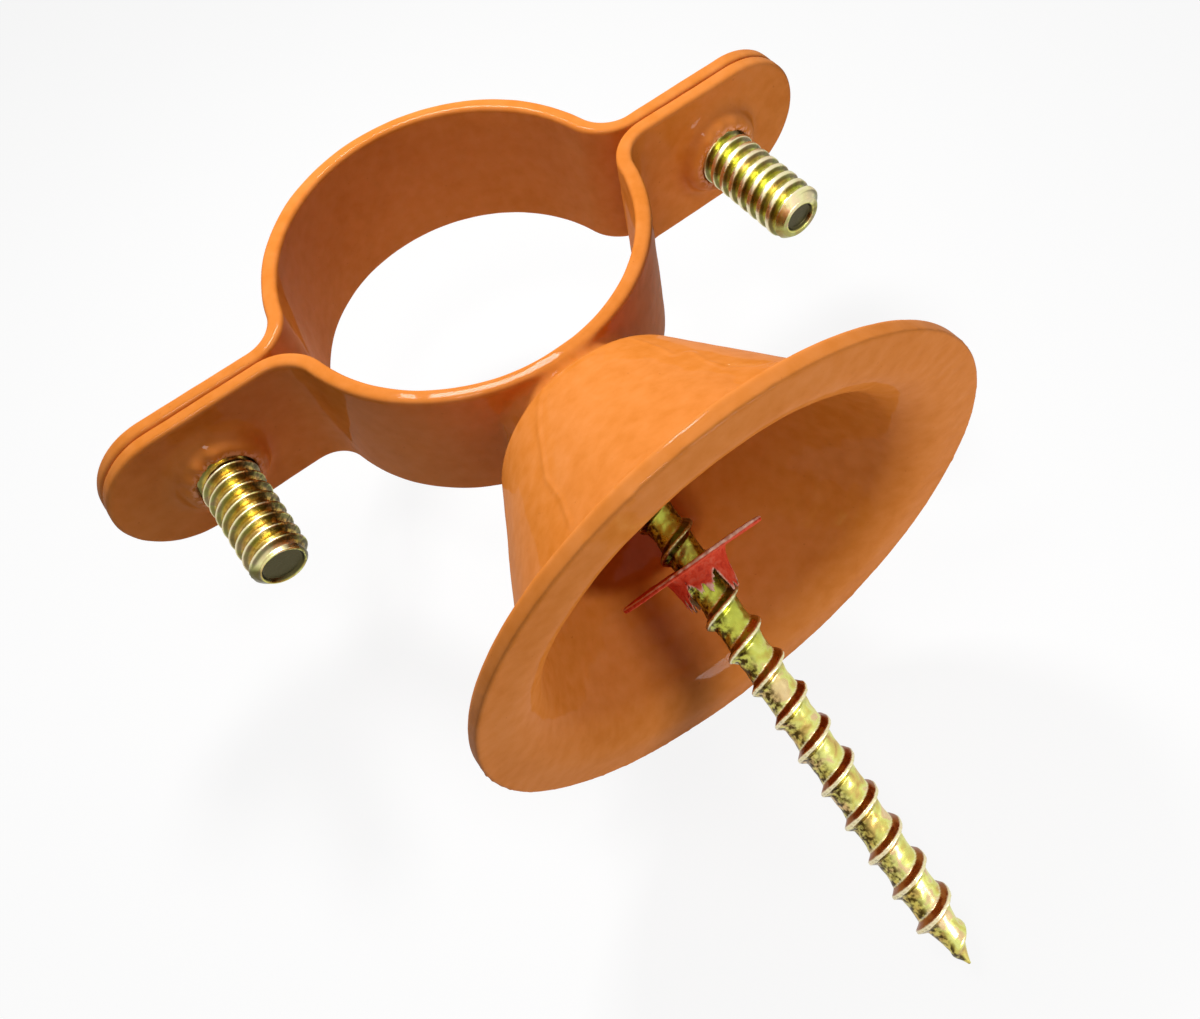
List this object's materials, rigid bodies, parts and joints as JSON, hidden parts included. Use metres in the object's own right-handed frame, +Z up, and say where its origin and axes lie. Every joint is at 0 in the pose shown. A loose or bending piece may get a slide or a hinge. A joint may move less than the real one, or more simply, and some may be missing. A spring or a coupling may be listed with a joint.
{
  "type": "bell pipe hanger",
  "caption": "Bell-shaped standoff pipe hanger: two-piece clamp ring with screwed ears on a flared wall bell, with a captive wood screw and washer.",
  "frame": {"origin": "centre of the bell's rim, in the plane that meets the wall", "axes": "+Y into the wall along the bell's axis, +Z up along the pipe, X along the clamp's ears"},
  "size_m": [0.067, 0.0768, 0.042],
  "materials": {
    "copper_paint": "gloss",
    "yellow_zinc": "satin",
    "red_fibre": "matte"
  },
  "bodies": {
    "hanger": {"bell": "copper_paint", "rear_clamp_half": "copper_paint"},
    "strap": {"front_clamp_half": "copper_paint"},
    "left_screw": {"clamp_screw_left": "yellow_zinc"},
    "right_screw": {"clamp_screw_right": "yellow_zinc"},
    "captive_washer": {"retaining_washer": "red_fibre"},
    "captive_screw": {"wood_screw": "yellow_zinc"}
  },
  "joints": [
    {"name": "strap_slide", "type": "slide", "parent": "hanger", "child": "strap", "axis": [0, -1, 0], "range_m": [0, 0.012]},
    {"name": "clamp_screw_left_turn", "type": "hinge", "parent": "strap", "child": "left_screw", "pos_m": [-0.02464, -0.035, 0], "axis": [0, -1, 0], "range_deg": [0, 4090]},
    {"name": "clamp_screw_right_turn", "type": "hinge", "parent": "strap", "child": "right_screw", "pos_m": [0.02464, -0.035, 0], "axis": [0, -1, 0], "range_deg": [0, 4090]},
    {"name": "wood_screw_tilt", "type": "hinge", "parent": "hanger", "child": "captive_washer", "pos_m": [0, -0.0177, 0], "axis": [0.9976, 0, 0.0698], "range_deg": [0, 46.8]},
    {"name": "wood_screw_turn", "type": "hinge", "parent": "captive_washer", "child": "captive_screw", "pos_m": [0, -0.0177, 0], "axis": [0.0277, 0.9178, -0.3962], "continuous": true}
  ],
  "couplings": [
    {"joint": "clamp_screw_left_turn", "follows": "strap_slide", "rad_per_m": 5937},
    {"joint": "clamp_screw_right_turn", "follows": "strap_slide", "rad_per_m": 5937}
  ]
}
